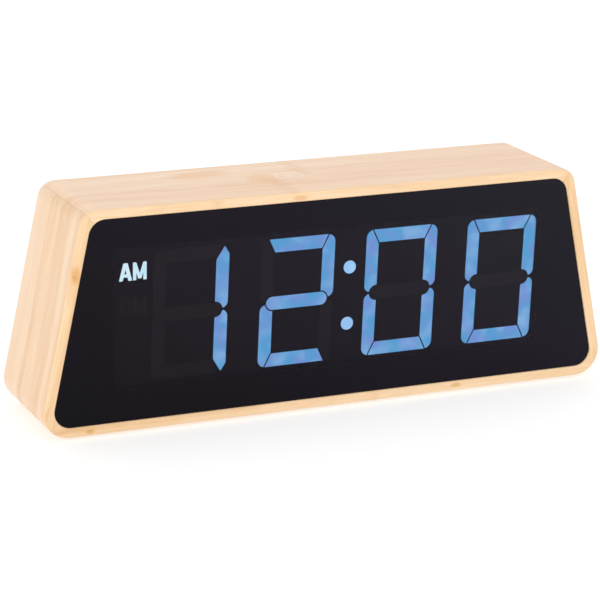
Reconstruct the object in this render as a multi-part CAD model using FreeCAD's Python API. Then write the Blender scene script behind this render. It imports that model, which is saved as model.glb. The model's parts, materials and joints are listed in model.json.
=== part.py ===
"""Bedside alarm clock with a trapezoid bamboo case, in millimetres.

+Z is up, the display faces -Y and +X is to its right.  The origin is the centre of the footprint,
at the level of the surface that the clock stands on.

The wooden case is a ring of four mitred boards.  A front unit (lens, inner frame and display) drops
into the front rebate, the rear cover drops into the rear rebate, and screws through the cover into
the frame's long posts hold the ring between them.
"""
import FreeCAD
import Part

import math
import os

V = FreeCAD.Vector
PARTS = "parts"

# ---- driving dimensions -----------------------------------------------------------------------
FOOT_HEIGHT = 1.0
CASE_BASE_WIDTH = 217.4      # across the sharp corners that the rounded outline is drawn from
CASE_HEIGHT = 78.4
CASE_DEPTH = 46.5
CASE_LEAN = 11.8             # degrees that each side leans inwards
FOOT_CORNER_RADIUS = 9.0     # rounding of the outline's two lower corners
HEAD_CORNER_RADIUS = 6.2     # and of its two upper ones
FRONT_EDGE_RADIUS = 0.6
REAR_EDGE_RADIUS = 1.6
BOARD_THICKNESS = 7.0
RIM = 3.4                    # wood that shows above and below the lens and the rear cover
SIDE_RIM = 3.63              # wood that shows at their sides
REBATE_CORNER_RADIUS = 6.0
OPENING_CHAMFER = 0.25
SLIP = 0.15                  # clearance of a plate in its rebate

LENS_RECESS = 0.5
LENS_THICKNESS = 2.0
TAPE_THICKNESS = 0.3
TAPE_WIDTH = 2.6
FLANGE_THICKNESS = 1.2
SKIRT_THICKNESS = 1.5
SKIRT_CLEARANCE = 0.3

COVER_RECESS = 2.0
COVER_THICKNESS = 2.4

DIGIT_WIDTH = 27.5
DIGIT_HEIGHT = 45.7
DIGIT_PITCH = 39.55
DIGIT_SLANT = 0.031          # sideways run of an upright stroke, per millimetre of height
DIGITS_CENTRE_X = 5.35       # the digits stand right of centre, to leave room for AM and PM
DIGITS_BOTTOM_Z = 17.1
STROKE = 4.73
SEGMENT_GAP = 0.42
DIGIT_CORNER_RADIUS = 2.9
MITRE_RUN = 2.3              # sideways run of the mitre between a level and an upright stroke
WAIST_INSET = 2.3            # where the middle stroke starts, from the digit's side
POINT_INSET = 1.8            # pointed end of the first digit's strokes: in from its side,
POINT_DROP = 0.6             # down from the digit's corner,
POINT_SHOULDER = 3.4         # and down to where its side turns in
DOT_RADIUS = 2.35
DOT_HEIGHTS = (12.65, 33.05)
AM_CENTRE = (-73.95, 56.35)
PM_CENTRE = (-73.95, 44.35)
LETTER_HEIGHT = 6.2
SHOWN = ("bc", "abged", "abcdef", "abcdef")   # strokes lit in each place: 12:00

MASK_THICKNESS = 0.4
REFLECTOR_THICKNESS = 8.0
BOARD_FR4 = 1.6
REFLECTOR_X = (-83.0, 81.5)
REFLECTOR_Z = (14.0, 66.4)
DISPLAY_BOSSES = ((-88.0, 24.0), (88.0, 24.0), (-87.0, 44.0), (87.0, 44.0))
POSTS = ((-94.0, 14.0), (94.0, 14.0), (-83.0, 69.2), (83.0, 69.2))
POST_RADIUS = 2.8
PILOT_RADIUS = 0.9

MAIN_BOARD_STANDOFF = 8.0
MAIN_BOARD_X = 72.0
MAIN_BOARD_Z = (44.0, 69.0)
JACK_LEG_X = (54.0, 78.0)
JACK_LEG_Z = 17.0
MAIN_BOSSES = ((-68.0, 48.0), (-38.0, 65.0), (38.0, 65.0), (74.0, 21.0))
MAIN_BOSS_RADIUS = 2.6

BUTTONS = {"time_button": -27.0, "alarm_button": -9.0, "minus_button": 9.0, "plus_button": 27.0}
BUTTON_Z = 57.0
BUTTON_RADIUS = 4.0
BUTTON_PROUD = 1.4
BUTTON_TRAVEL = 0.6
SLIDERS = {"alarm_slider": -51.0, "dimmer_slider": 51.0}
SLIDER_TRAVEL = 4.0
SLIDER_SIZE = (5.0, 4.4)
BUZZER_CENTRE = (-64.0, 29.0)
BUZZER_RADIUS = 12.0
JACK_CENTRE = (66.0, 29.0)

BAY_CENTRE_Z = 26.5
BAY_SIZE = (51.0, 24.4)
BAY_DEPTH = 11.3
BAY_WALL = 1.4
DOOR_SIZE = (56.0, 28.8)
DOOR_THICKNESS = 1.6
DOOR_CLEARANCE = 0.25
CELL_RADIUS = 5.15
CELL_LENGTH = 43.6
CELL_SPACING = 11.2

# ---- stations along Y, from the display to the back ----------------------------------------------
FRONT_Y = -CASE_DEPTH / 2
BACK_Y = CASE_DEPTH / 2
LENS_Y = FRONT_Y + LENS_RECESS
TAPE_Y = LENS_Y + LENS_THICKNESS
FLANGE_Y = TAPE_Y + TAPE_THICKNESS
LEDGE_Y = FLANGE_Y + FLANGE_THICKNESS
REFLECTOR_Y = FLANGE_Y + MASK_THICKNESS
DISPLAY_BOARD_Y = REFLECTOR_Y + REFLECTOR_THICKNESS
DISPLAY_BOARD_BACK_Y = DISPLAY_BOARD_Y + BOARD_FR4
COVER_OUT_Y = BACK_Y - COVER_RECESS
COVER_IN_Y = COVER_OUT_Y - COVER_THICKNESS
MAIN_BOARD_BACK_Y = COVER_IN_Y - MAIN_BOARD_STANDOFF
MAIN_BOARD_Y = MAIN_BOARD_BACK_Y - BOARD_FR4
DOOR_IN_Y = COVER_OUT_Y - DOOR_THICKNESS
BAY_FLOOR_Y = DOOR_IN_Y - BAY_DEPTH

INNER_TOP_Z = FOOT_HEIGHT + CASE_HEIGHT - BOARD_THICKNESS
LEAN = math.radians(CASE_LEAN)


# ---- drawing helpers ---------------------------------------------------------------------------
def box(x, y, z):
    """Solid between the limits x = (low, high), y and z."""
    return Part.makeBox(x[1] - x[0], y[1] - y[0], z[1] - z[0], V(x[0], y[0], z[0]))


def rod(radius, x, z, y):
    """Cylinder along Y through (x, z), from y[0] to y[1]."""
    return Part.makeCylinder(radius, y[1] - y[0], V(x, y[0], z), V(0, 1, 0))


def union(shapes):
    first, *rest = shapes
    return first.fuse(rest).removeSplitter() if rest else first


def outline_edges(corners, radii, place):
    """Edges of a closed polygon with rounded corners; place maps (x, z) to a point in space."""
    count = len(corners)
    joints = []
    for i, corner in enumerate(corners):
        here = V(*corner, 0)
        before = (V(*corners[i - 1], 0) - here).normalize()
        after = (V(*corners[(i + 1) % count], 0) - here).normalize()
        half = before.getAngle(after) / 2
        radius = radii[i]
        middle = (before + after).normalize()
        centre = here + middle * (radius / math.sin(half))
        reach = radius / math.tan(half)
        joints.append((here + before * reach, centre - middle * radius, here + after * reach))
    edges = []
    for i, (start, crown, end) in enumerate(joints):
        edges.append(Part.Arc(*(place(p.x, p.y) for p in (start, crown, end))).toShape())
        following = joints[(i + 1) % count][0]
        if (following - end).Length > 1e-6:
            edges.append(Part.LineSegment(place(end.x, end.y), place(following.x, following.y)).toShape())
    return edges


def plate(corners, y, radius=0.0):
    """Slab between y[0] and y[1] whose outline is a polygon in X and Z.

    radius rounds its corners: one number for all of them, or one for each.
    """
    if radius:
        radii = radius if isinstance(radius, tuple) else (radius,) * len(corners)
        wire = Part.Wire(outline_edges(corners, radii, lambda x, z: V(x, y[0], z)))
    else:
        wire = Part.makePolygon([V(x, y[0], z) for x, z in [*corners, corners[0]]])
    return Part.Face(wire).extrude(V(0, y[1] - y[0], 0))


def rectangle(centre, size):
    (cx, cz), (width, height) = centre, size
    return [(cx - width / 2, cz - height / 2), (cx + width / 2, cz - height / 2),
            (cx + width / 2, cz + height / 2), (cx - width / 2, cz + height / 2)]


def half_width(z, inset=0.0):
    """Half the width of the case at height z, for an outline moved in by inset."""
    return CASE_BASE_WIDTH / 2 - (z - FOOT_HEIGHT) * math.tan(LEAN) - inset / math.cos(LEAN)


def trapezoid(inset, side_inset=None):
    """Corners of the case outline moved in by inset: bottom left, bottom right, top right, top left."""
    side_inset = inset if side_inset is None else side_inset
    low = FOOT_HEIGHT + inset
    high = FOOT_HEIGHT + CASE_HEIGHT - inset
    return [(-half_width(low, side_inset), low), (half_width(low, side_inset), low),
            (half_width(high, side_inset), high), (-half_width(high, side_inset), high)]


def rebate_plate(gap, y):
    """Plate that fills the rebate of the case, apart from a gap all round."""
    return plate(trapezoid(RIM + gap, SIDE_RIM + gap), y, REBATE_CORNER_RADIUS - gap)


def rim_of(solid, y, outer):
    """Edges round the flat face of solid at station y: its outline, or the opening in it."""
    faces = [f for f in solid.Faces if all(abs(v.Y - y) < 1e-6 for v in f.Vertexes)]
    face = max(faces, key=lambda f: f.BoundBox.DiagonalLength)
    outline = {e.hashCode() for e in face.OuterWire.Edges}
    return [e for e in face.Edges if (e.hashCode() in outline) == outer]


# ---- wooden case ------------------------------------------------------------------------------
def case_ring():
    rounding = (FOOT_CORNER_RADIUS, FOOT_CORNER_RADIUS, HEAD_CORNER_RADIUS, HEAD_CORNER_RADIUS)
    ring = plate(trapezoid(0.0), (FRONT_Y, BACK_Y), rounding)
    ring = ring.cut(plate(trapezoid(BOARD_THICKNESS), (FRONT_Y - 1, BACK_Y + 1), 2.0))
    ring = ring.cut(rebate_plate(0.0, (FRONT_Y - 1, LEDGE_Y)))
    ring = ring.cut(rebate_plate(0.0, (COVER_IN_Y, BACK_Y + 1)))
    ring = ring.makeFillet(FRONT_EDGE_RADIUS, rim_of(ring, FRONT_Y, True))
    ring = ring.makeFillet(REAR_EDGE_RADIUS, rim_of(ring, BACK_Y, True))
    for y in (FRONT_Y, BACK_Y):
        ring = ring.makeChamfer(OPENING_CHAMFER, rim_of(ring, y, False))
    return ring


def case_boards():
    """Splits the ring at the mitres, which run from each outer corner through the inner one."""
    ring = case_ring()
    outside = trapezoid(-4.0)
    inside = trapezoid(CASE_HEIGHT / 4)
    boards = {}
    for i, name in enumerate(("bottom_board", "right_board", "top_board", "left_board")):
        j = (i + 1) % 4
        wedge = plate([outside[i], outside[j], inside[j], inside[i]], (FRONT_Y - 1, BACK_Y + 1))
        boards[name] = ring.common(wedge)
    return boards


def foot_pads():
    radius, inset_x, inset_y = 5.0, 16.0, 12.0
    pads = []
    for sx in (-1, 1):
        for sy in (-1, 1):
            centre = V(sx * (CASE_BASE_WIDTH / 2 - inset_x), sy * (CASE_DEPTH / 2 - inset_y), 0)
            pads.append(Part.makeCylinder(radius, FOOT_HEIGHT, centre))
    return Part.makeCompound(pads)


# ---- front unit -------------------------------------------------------------------------------
def front_lens():
    return rebate_plate(SLIP, (LENS_Y, TAPE_Y))


def lens_tape():
    y = (TAPE_Y, FLANGE_Y)
    return rebate_plate(2 * SLIP, y).cut(rebate_plate(2 * SLIP + TAPE_WIDTH, y))


def inner_frame():
    """Flange behind the lens, a skirt inside the boards, display bosses and the four long posts."""
    flange = rebate_plate(SLIP, (FLANGE_Y, LEDGE_Y))
    outer = BOARD_THICKNESS + SKIRT_CLEARANCE
    y = (LEDGE_Y, DISPLAY_BOARD_Y)
    skirt = plate(trapezoid(outer), y, 2.0).cut(plate(trapezoid(outer + SKIRT_THICKNESS), y, 1.0))
    posts = [rod(POST_RADIUS, x, z, (LEDGE_Y, COVER_IN_Y)) for x, z in POSTS]
    bosses = [rod(2.5, x, z, (LEDGE_Y, DISPLAY_BOARD_Y)) for x, z in DISPLAY_BOSSES]
    frame = union([flange, skirt, *posts, *bosses])
    clearance = 0.3
    window = box((REFLECTOR_X[0] - clearance, REFLECTOR_X[1] + clearance), (FLANGE_Y, LEDGE_Y),
                 (REFLECTOR_Z[0] - clearance, REFLECTOR_Z[1] + clearance))
    pilots = [rod(PILOT_RADIUS, x, z, (COVER_IN_Y - 8, COVER_IN_Y)) for x, z in POSTS]
    pilots += [rod(PILOT_RADIUS, x, z, (DISPLAY_BOARD_Y - 5, DISPLAY_BOARD_Y)) for x, z in DISPLAY_BOSSES]
    return frame.cut([window, *pilots])


# ---- digits -----------------------------------------------------------------------------------
def upright_stroke(pointed=False):
    """Upper left stroke of a digit, from the waist to the corner, as lines and three-point arcs."""
    shift = SEGMENT_GAP * math.hypot(MITRE_RUN, STROKE) / 2
    waist = DIGIT_HEIGHT / 2
    notch = STROKE / 2 + SEGMENT_GAP
    notch_x = WAIST_INSET + STROKE / 2
    tip = (notch_x - math.sqrt(notch ** 2 - SEGMENT_GAP ** 2), waist + SEGMENT_GAP)
    shoulder = (STROKE, waist + math.sqrt(notch ** 2 - (STROKE - notch_x) ** 2))
    bend = (notch_x - notch * math.cos(math.radians(48)), waist + notch * math.sin(math.radians(48)))
    inner = (STROKE, DIGIT_HEIGHT - STROKE - shift / MITRE_RUN)
    radius = DIGIT_CORNER_RADIUS
    outer_x = STROKE - MITRE_RUN - shift / STROKE
    outer = (outer_x, DIGIT_HEIGHT - radius + math.sqrt(radius ** 2 - (radius - outer_x) ** 2))
    turn = math.radians(135 + 8)
    crown = (radius + radius * math.cos(turn), DIGIT_HEIGHT - radius + radius * math.sin(turn))
    side_top = (0.0, DIGIT_HEIGHT - radius)
    corner = (outer, crown, side_top)
    if pointed:
        outer = (POINT_INSET, DIGIT_HEIGHT - POINT_DROP)
        side_top = (0.0, DIGIT_HEIGHT - POINT_SHOULDER)
        corner = (outer, side_top)
    side_bottom = (0.0, waist + 2.8)
    return [(tip, bend, shoulder), (shoulder, inner), (inner, outer), corner,
            (side_top, side_bottom), (side_bottom, (0.5, waist + 1.25), tip)]


def level_stroke():
    """Top stroke of a digit."""
    shift = SEGMENT_GAP * math.hypot(MITRE_RUN, STROKE) / (2 * STROKE)
    outer = STROKE - MITRE_RUN + shift
    inner = STROKE + shift
    corners = [(outer, DIGIT_HEIGHT), (inner, DIGIT_HEIGHT - STROKE),
               (DIGIT_WIDTH - inner, DIGIT_HEIGHT - STROKE), (DIGIT_WIDTH - outer, DIGIT_HEIGHT)]
    return list(zip(corners, corners[1:] + corners[:1]))


def middle_stroke():
    """Middle stroke, with half-round ends."""
    waist, r = DIGIT_HEIGHT / 2, STROKE / 2
    left, right = WAIST_INSET + r, DIGIT_WIDTH - WAIST_INSET - r
    return [((left, waist - r), (right, waist - r)),
            ((right, waist - r), (right + r, waist), (right, waist + r)),
            ((right, waist + r), (left, waist + r)),
            ((left, waist + r), (left - r, waist), (left, waist - r))]


def flipped(stroke, sideways, upside_down):
    def flip(p):
        x = DIGIT_WIDTH - p[0] if sideways else p[0]
        z = DIGIT_HEIGHT - p[1] if upside_down else p[1]
        return (x, z)
    return [tuple(flip(p) for p in piece) for piece in stroke]


def digit_strokes(place):
    """Strokes by their usual letters; the first digit's right-hand strokes end in points."""
    side, top = upright_stroke(), level_stroke()
    right = upright_stroke(pointed=(place == 0))
    return {"a": top, "b": flipped(right, True, False), "c": flipped(right, True, True),
            "d": flipped(top, False, True), "e": flipped(side, False, True), "f": side,
            "g": middle_stroke()}


def digit_left(place):
    """Left side of the digit in place 0 to 3, at its foot."""
    width = 3 * DIGIT_PITCH + DIGIT_WIDTH
    return DIGITS_CENTRE_X - width / 2 + place * DIGIT_PITCH


def stroke_solid(stroke, place, y):
    left = digit_left(place)

    def at(p):
        return V(left + p[0] + DIGIT_SLANT * p[1], y[0], DIGITS_BOTTOM_Z + p[1])

    edges = []
    for piece in stroke:
        points = [at(p) for p in piece]
        edges.append((Part.Arc if len(points) == 3 else Part.LineSegment)(*points).toShape())
    face = Part.Face(Part.Wire(Part.__sortEdges__(edges)))
    return face.extrude(V(0, y[1] - y[0], 0))


def segments(y, lit=None):
    """All strokes between y[0] and y[1], or only those that are lit (True) or unlit (False)."""
    found = []
    for place, shown in enumerate(SHOWN):
        for name, stroke in digit_strokes(place).items():
            if lit is None or (name in shown) == lit:
                found.append(stroke_solid(stroke, place, y))
    return found


def colon_dots(y, radius=DOT_RADIUS):
    """The two dots, midway between the second and third digits."""
    x = (digit_left(1) + DIGIT_WIDTH + digit_left(2)) / 2
    return [rod(radius, x + DIGIT_SLANT * h, DIGITS_BOTTOM_Z + h, y) for h in DOT_HEIGHTS]


def bar(p, q, thickness, y):
    """Straight level-ended bar from p to q, thickness wide along X."""
    half = thickness / 2
    return plate([(p[0] - half, p[1]), (p[0] + half, p[1]), (q[0] + half, q[1]), (q[0] - half, q[1])], y)


def letter_a(x, z, y):
    h, w, t = LETTER_HEIGHT, 4.7, 1.35
    legs = [bar((x + sx * (w - t) / 2, z), (x + sx * 0.1, z + h), t, y) for sx in (-1, 1)]
    return union([*legs, box((x - w / 2 + t / 2, x + w / 2 - t / 2), y, (z + 0.2 * h, z + 0.38 * h))])


def letter_m(x, z, y):
    h, w, t = LETTER_HEIGHT, 4.9, 1.2
    posts = [box((x + sx * (w - t) / 2 - t / 2, x + sx * (w - t) / 2 + t / 2), y, (z, z + h))
             for sx in (-1, 1)]
    slopes = [bar((x, z + 0.08 * h), (x + sx * (w - t) / 2, z + h), t, y) for sx in (-1, 1)]
    return union([*posts, *slopes])


def letter_p(x, z, y):
    h, w, t = LETTER_HEIGHT, 3.9, 1.25
    stem = box((x - w / 2, x - w / 2 + t), y, (z, z + h))
    bowl = rectangle((x, z + 0.71 * h), (w, 0.58 * h))
    hollow = rectangle((x, z + 0.71 * h), (w - 2 * t, 0.58 * h - 2 * 0.95))
    loop = plate(bowl, y, 0.28 * h - 0.1).cut(plate(hollow, y, 0.3))
    return union([stem, loop])


def am_letters(y):
    x, z = AM_CENTRE
    foot = z - LETTER_HEIGHT / 2
    return [letter_a(x - 2.6, foot, y), letter_m(x + 2.5, foot, y)]


def pm_letters(y):
    x, z = PM_CENTRE
    foot = z - LETTER_HEIGHT / 2
    return [letter_p(x - 2.6, foot, y), letter_m(x + 2.5, foot, y)]


def lamp_wells(y):
    """Light wells of the colon, AM and PM, which have their own lamps."""
    wells = colon_dots(y, DOT_RADIUS + 0.4)
    for centre in (AM_CENTRE, PM_CENTRE):
        wells.append(plate(rectangle(centre, (11.6, LETTER_HEIGHT + 1.2)), y, 1.0))
    return wells


# ---- display stack ----------------------------------------------------------------------------
def display_mask():
    """Black film with a window for each stroke, dot and letter."""
    y = (FLANGE_Y, REFLECTOR_Y)
    film = box(REFLECTOR_X, y, REFLECTOR_Z)
    return film.cut([*segments(y), *colon_dots(y), *am_letters(y), *pm_letters(y)])


def display_reflector():
    """White block with a light well behind each window."""
    y = (REFLECTOR_Y, DISPLAY_BOARD_Y)
    return box(REFLECTOR_X, y, REFLECTOR_Z).cut([*segments(y), *lamp_wells(y)])


def display_board():
    y = (DISPLAY_BOARD_Y, DISPLAY_BOARD_BACK_Y)
    board = [box(REFLECTOR_X, y, REFLECTOR_Z)]
    for x, z in DISPLAY_BOSSES:
        tab = (min(x, 0.0) - 3.2, 0.0) if x < 0 else (0.0, x + 3.2)
        board.append(box(tab, y, (z - 4, z + 4)))
    return union(board).cut([rod(1.3, x, z, y) for x, z in DISPLAY_BOSSES])


def lamp(x, z):
    width, height, depth = 1.6, 1.0, 0.7
    return box((x - width / 2, x + width / 2), (DISPLAY_BOARD_Y - depth, DISPLAY_BOARD_Y),
               (z - height / 2, z + height / 2))


def segment_lamps():
    """Two lamps behind each stroke, and one behind each dot, AM and PM."""
    half = STROKE / 2
    level = ((DIGIT_WIDTH * 0.35, DIGIT_WIDTH * 0.65))
    spots = [(x, z) for z in (half, DIGIT_HEIGHT / 2, DIGIT_HEIGHT - half) for x in level]
    rise = (DIGIT_HEIGHT * 0.16, DIGIT_HEIGHT * 0.34, DIGIT_HEIGHT * 0.66, DIGIT_HEIGHT * 0.84)
    spots += [(x, z) for x in (half, DIGIT_WIDTH - half) for z in rise]
    lamps = []
    for place in range(len(SHOWN)):
        left = digit_left(place)
        lamps += [lamp(left + x + DIGIT_SLANT * z, DIGITS_BOTTOM_Z + z) for x, z in spots]
    x = (digit_left(1) + DIGIT_WIDTH + digit_left(2)) / 2
    lamps += [lamp(x + DIGIT_SLANT * h, DIGITS_BOTTOM_Z + h) for h in DOT_HEIGHTS]
    lamps += [lamp(*AM_CENTRE), lamp(*PM_CENTRE)]
    return Part.makeCompound(lamps)


def driver_chips():
    """Two lamp drivers on the back of the display board."""
    y = (DISPLAY_BOARD_BACK_Y, DISPLAY_BOARD_BACK_Y + 1.6)
    return Part.makeCompound([box((x - 5, x + 5), y, (50.0, 56.0)) for x in (-40.0, 45.0)])


# ---- screws -----------------------------------------------------------------------------------
def screw(x, z, head_y, length, head_radius=2.1, head_height=1.4):
    """Pan-head cross-recess screw whose head faces +Y and seats at head_y."""
    head = rod(head_radius, x, z, (head_y, head_y + head_height))
    top = [e for e in head.Edges if all(abs(v.Y - head_y - head_height) < 1e-6 for v in e.Vertexes)]
    head = head.makeFillet(0.5, top)
    shank = rod(PILOT_RADIUS - 0.02, x, z, (head_y - length, head_y))
    slot, reach = 0.45, head_radius * 0.62
    y = (head_y + head_height - 0.9, head_y + head_height)
    cross = [box((x - reach, x + reach), y, (z - slot / 2, z + slot / 2)),
             box((x - slot / 2, x + slot / 2), y, (z - reach, z + reach))]
    return union([head, shank]).cut(cross)


COVER_SCREW_SINK = 1.5


def cover_screws():
    return Part.makeCompound([screw(x, z, COVER_OUT_Y - COVER_SCREW_SINK, 8.0) for x, z in POSTS])


def display_screws():
    return Part.makeCompound([screw(x, z, DISPLAY_BOARD_BACK_Y, 6.0, 1.9, 1.2)
                              for x, z in DISPLAY_BOSSES])


def main_board_screws():
    """Driven from the front of the board into the cover's bosses."""
    screws = []
    for x, z in MAIN_BOSSES:
        one = screw(x, z, 0.0, 6.0, 1.9, 1.2)
        one.rotate(V(x, 0, z), V(0, 0, 1), 180)
        one.translate(V(0, MAIN_BOARD_Y, 0))
        screws.append(one)
    return Part.makeCompound(screws)


# ---- rear cover and battery bay ---------------------------------------------------------------
HINGE_RADIUS = DOOR_THICKNESS / 2
HINGE_Y = COVER_OUT_Y - HINGE_RADIUS
HINGE_Z = BAY_CENTRE_Z - DOOR_SIZE[1] / 2 + HINGE_RADIUS
PIVOT_LENGTH = 1.2
PIVOT_RADIUS = 0.55
LATCH_WIDTH = 9.0
LATCH_CLEARANCE = 0.4


def door_seat():
    """Room in the cover for the door, its two pivots and the finger notch at its latch."""
    size = (DOOR_SIZE[0] + 2 * DOOR_CLEARANCE, DOOR_SIZE[1] + 2 * DOOR_CLEARANCE)
    y = (DOOR_IN_Y - 0.05, COVER_OUT_Y)
    seat = plate(rectangle((0.0, BAY_CENTRE_Z), size), y)
    reach = DOOR_SIZE[0] / 2 + PIVOT_LENGTH + 0.2
    pivots = Part.makeCylinder(PIVOT_RADIUS + 0.06, 2 * reach, V(-reach, HINGE_Y, HINGE_Z), V(1, 0, 0))
    notch = rectangle((0.0, BAY_CENTRE_Z + size[1] / 2), (LATCH_WIDTH + 5, 5.6))
    return union([seat, pivots, plate(notch, (COVER_OUT_Y - 1.5, COVER_OUT_Y), 2.0)])


def grille():
    """Upright slots in a circle in front of the buzzer."""
    slots = []
    cx, cz = BUZZER_CENTRE
    pitch, width, edge = 3.4, 1.5, BUZZER_RADIUS - 3.2
    for i in range(-2, 3):
        half = math.sqrt(edge ** 2 - (i * pitch) ** 2)
        slot = rectangle((cx + i * pitch, cz), (width, 2 * half))
        slots.append(plate(slot, (COVER_IN_Y, COVER_OUT_Y), width / 2 - 0.01))
    return slots


def slider_slot(x):
    """Slot that a slider's grip runs in, from its rest at the left."""
    width = SLIDER_SIZE[0] + SLIDER_TRAVEL + 0.4
    centre = (x + SLIDER_TRAVEL / 2, BUTTON_Z)
    return plate(rectangle(centre, (width, SLIDER_SIZE[1] + 0.4)), (COVER_IN_Y, COVER_OUT_Y), 0.4)


def bay_shell():
    """Outside of the battery bay, inside the cover."""
    size = (BAY_SIZE[0] + 2 * BAY_WALL, BAY_SIZE[1] + 2 * BAY_WALL)
    return plate(rectangle((0.0, BAY_CENTRE_Z), size), (BAY_FLOOR_Y - BAY_WALL, COVER_IN_Y))


def rear_cover():
    y = (COVER_IN_Y, COVER_OUT_Y)
    skin = rebate_plate(SLIP, y)
    edge = [e for e in skin.Edges if all(abs(v.Y - COVER_OUT_Y) < 1e-6 for v in e.Vertexes)]
    skin = skin.makeChamfer(0.4, edge)
    bosses = [rod(MAIN_BOSS_RADIUS, x, z, (MAIN_BOARD_BACK_Y, COVER_IN_Y)) for x, z in MAIN_BOSSES]
    collar = rod(BUZZER_RADIUS + 1.6, *BUZZER_CENTRE, (COVER_IN_Y - 3, COVER_IN_Y))
    cover = union([skin, bay_shell(), collar, *bosses])
    cuts = [rod(BUZZER_RADIUS + 0.15, *BUZZER_CENTRE, (COVER_IN_Y - 4, COVER_IN_Y)),
            plate(rectangle((0.0, BAY_CENTRE_Z), BAY_SIZE), (BAY_FLOOR_Y, COVER_OUT_Y)),
            door_seat(), *grille(),
            rod(4.3, *JACK_CENTRE, y)]
    cuts += [rod(BUTTON_RADIUS + 0.2, x, BUTTON_Z, y) for x in BUTTONS.values()]
    cuts += [slider_slot(x) for x in SLIDERS.values()]
    for x, z in POSTS:
        cuts.append(rod(1.2, x, z, y))
        cuts.append(rod(2.5, x, z, (COVER_OUT_Y - COVER_SCREW_SINK, COVER_OUT_Y)))
    cuts += [rod(PILOT_RADIUS, x, z, (MAIN_BOARD_BACK_Y, MAIN_BOARD_BACK_Y + 6)) for x, z in MAIN_BOSSES]
    latch_z = BAY_CENTRE_Z + BAY_SIZE[1] / 2
    cuts.append(box((-LATCH_WIDTH / 2 - 0.3, LATCH_WIDTH / 2 + 0.3), (DOOR_IN_Y - 3.4, DOOR_IN_Y - 1.6),
                    (latch_z - 0.1, latch_z + 1.0)))
    return cover.cut(cuts)


def battery_door():
    """Flush door that turns on two pivots at its foot; a tongue at its head, drawn bent in, hooks the bay."""
    low, high = HINGE_Z, BAY_CENTRE_Z + DOOR_SIZE[1] / 2
    half = DOOR_SIZE[0] / 2
    slab = box((-half, half), (DOOR_IN_Y, COVER_OUT_Y), (low, high))
    hinge_edge = Part.makeCylinder(HINGE_RADIUS, DOOR_SIZE[0], V(-half, HINGE_Y, HINGE_Z), V(1, 0, 0))
    reach = half + PIVOT_LENGTH
    pivots = Part.makeCylinder(PIVOT_RADIUS, 2 * reach, V(-reach, HINGE_Y, HINGE_Z), V(1, 0, 0))
    hook_tip = BAY_CENTRE_Z + BAY_SIZE[1] / 2 - LATCH_CLEARANCE
    x = (-LATCH_WIDTH / 2, LATCH_WIDTH / 2)
    tongue_y, tongue_thickness, hook_size = DOOR_IN_Y - 3.0, 0.7, 0.8
    hook_foot = hook_tip - hook_size
    tongue = box(x, (tongue_y, DOOR_IN_Y), (hook_foot - tongue_thickness, hook_foot))
    hook = box(x, (tongue_y, tongue_y + hook_size), (hook_foot, hook_tip))
    ridge_half, ridge_height, ridge_width, ridge_pitch = 8.0, 0.45, 0.7, 1.8
    ridges = []
    for i in range(3):
        z = high - 4.2 - i * ridge_pitch
        ridges.append(box((-ridge_half, ridge_half), (COVER_OUT_Y - 0.3, COVER_OUT_Y + ridge_height),
                          (z - ridge_width / 2, z + ridge_width / 2)))
    return union([slab, hinge_edge, pivots, tongue, hook, *ridges])


def cell_axis(side):
    """Height and depth of a cell's axis; side is 1 for the upper cell and -1 for the lower."""
    return BAY_CENTRE_Z + side * CELL_SPACING / 2, BAY_FLOOR_Y + CELL_RADIUS + 0.4


SPRING_ROOM = 4.6


def battery_cells():
    """Two AAA cells lying along X with their positive ends opposite ways."""
    cells = []
    for side in (1, -1):
        z, y = cell_axis(side)
        start = -BAY_SIZE[0] / 2 + SPRING_ROOM
        body = Part.makeCylinder(CELL_RADIUS, CELL_LENGTH, V(start, y, z), V(1, 0, 0))
        body = body.makeFillet(0.5, body.Edges[0:1] + body.Edges[2:3])
        nub = Part.makeCylinder(1.9, 0.9, V(start + CELL_LENGTH, y, z), V(1, 0, 0))
        cell = union([body, nub])
        if side < 0:
            cell.rotate(V(0, y, z), V(0, 0, 1), 180)
        cells.append(cell)
    return Part.makeCompound(cells)


def battery_contacts():
    """Nickel plates at both ends of the bay: one behind each spring and one at each positive end."""
    plates = []
    for end in (-1, 1):
        wall = end * BAY_SIZE[0] / 2
        for side in (1, -1):
            z, y = cell_axis(side)
            x = (wall, wall + 0.35) if end < 0 else (wall - 0.35, wall)
            sheet = box(x, (y - 4.4, y + 4.4), (z - 4.6, z + 4.6))
            if end == side:
                step = (wall - 1.75, wall - 0.35) if end > 0 else (wall + 0.35, wall + 1.75)
                sheet = union([sheet, box(step, (y - 2.6, y + 2.6), (z - 1.6, z + 1.6))])
            plates.append(sheet)
    return Part.makeCompound(plates)


def battery_springs():
    """Conical springs that push each cell's flat end."""
    wire, turns, length, cone = 0.35, 3, 3.2, 12.0
    springs = []
    for side in (1, -1):
        z, y = cell_axis(side)
        radius = 3.9
        helix = Part.makeLongHelix(length / turns, length, radius, -cone)
        start = Part.Wire([Part.Circle(V(radius, 0, 0), V(0, 1, 0), wire).toShape()])
        spring = Part.Wire(helix.Edges).makePipeShell([start], True, True)
        spring.rotate(V(0, 0, 0), V(0, 1, 0), 90)
        spring.translate(V(-BAY_SIZE[0] / 2 + 0.75, y, z))
        if side < 0:
            spring.rotate(V(0, y, z), V(0, 0, 1), 180)
        springs.append(spring)
    return Part.makeCompound(springs)


# ---- controls ---------------------------------------------------------------------------------
SWITCH_HEIGHT = 3.5
PLUNGER_PROUD = 0.9
PLUNGER_RADIUS = 1.7


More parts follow.
